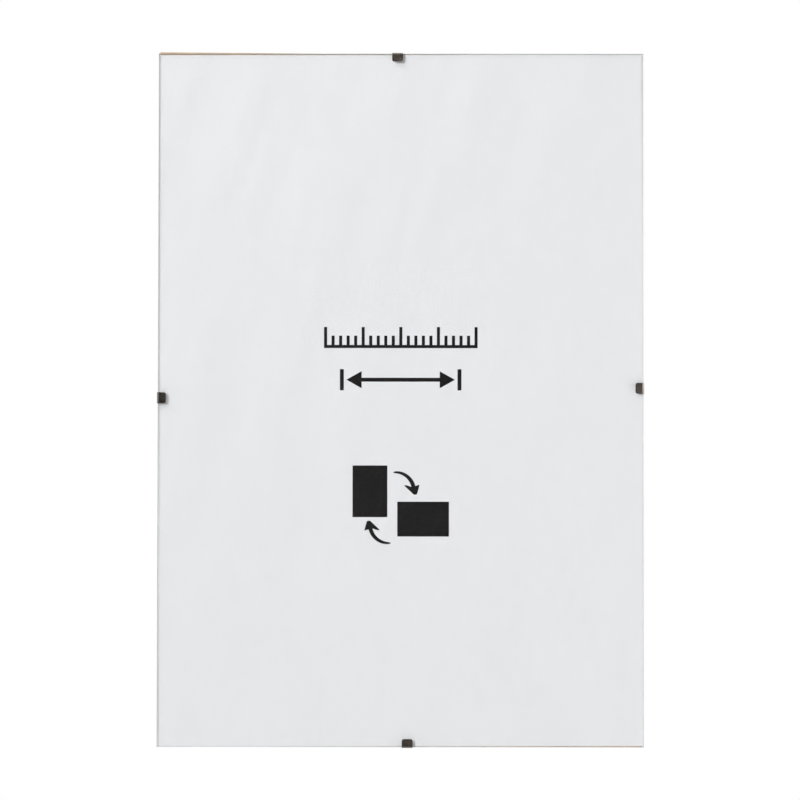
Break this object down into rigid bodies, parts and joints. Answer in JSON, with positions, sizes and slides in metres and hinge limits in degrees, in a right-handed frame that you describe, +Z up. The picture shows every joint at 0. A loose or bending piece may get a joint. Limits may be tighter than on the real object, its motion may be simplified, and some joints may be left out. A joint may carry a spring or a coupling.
{
  "type": "clip frame",
  "caption": "Clear glass pane, printed paper insert and brown backing board, gripped at mid-edge by dark spring clips that swing off and have keyhole hanging eyes.",
  "frame": {"origin": "centre of the top clip's hanging eye, on the face of the clip that meets the wall", "axes": "+X to the right as the picture is seen, +Y from the glass to the wall, +Z up the picture's long side"},
  "size_m": [0.2108, 0.0088, 0.3011],
  "materials": {
    "clear_glass": "polished faces with ground grey-green edges",
    "white_paper": "matt white with black printed figures",
    "brown_hardboard": "pressed wood fibre, smooth and matt, with fuzzy cut edges",
    "dark_spring_steel": "dark bronzed spring steel, semigloss, paler at worn edges"
  },
  "bodies": {
    "stack": {"glass_pane": "clear_glass", "printed_sheet": "white_paper", "backing_board": "brown_hardboard"},
    "top_clip": {"top_clip": "dark_spring_steel"},
    "bottom_clip": {"bottom_clip": "dark_spring_steel"},
    "left_clip": {"left_clip": "dark_spring_steel"},
    "right_clip": {"right_clip": "dark_spring_steel"}
  },
  "joints": [
    {"name": "top_clip_swing", "type": "hinge", "parent": "stack", "child": "top_clip", "pos_m": [0, -0.00855, 0.008], "axis": [1, 0, 0], "range_deg": [0, 90], "stiffness_Nm_per_rad": 0.02, "springref_deg": -68.75},
    {"name": "bottom_clip_swing", "type": "hinge", "parent": "stack", "child": "bottom_clip", "pos_m": [0.0045, -0.00855, -0.285], "axis": [-1, 0, 0], "range_deg": [0, 90], "stiffness_Nm_per_rad": 0.02, "springref_deg": -68.75},
    {"name": "left_clip_swing", "type": "hinge", "parent": "stack", "child": "left_clip", "pos_m": [-0.1, -0.00855, -0.1379], "axis": [0, 0, 1], "range_deg": [0, 90], "stiffness_Nm_per_rad": 0.02, "springref_deg": -68.75},
    {"name": "right_clip_swing", "type": "hinge", "parent": "stack", "child": "right_clip", "pos_m": [0.103, -0.00855, -0.1336], "axis": [0, 0, -1], "range_deg": [0, 90], "stiffness_Nm_per_rad": 0.02, "springref_deg": -68.75}
  ]
}
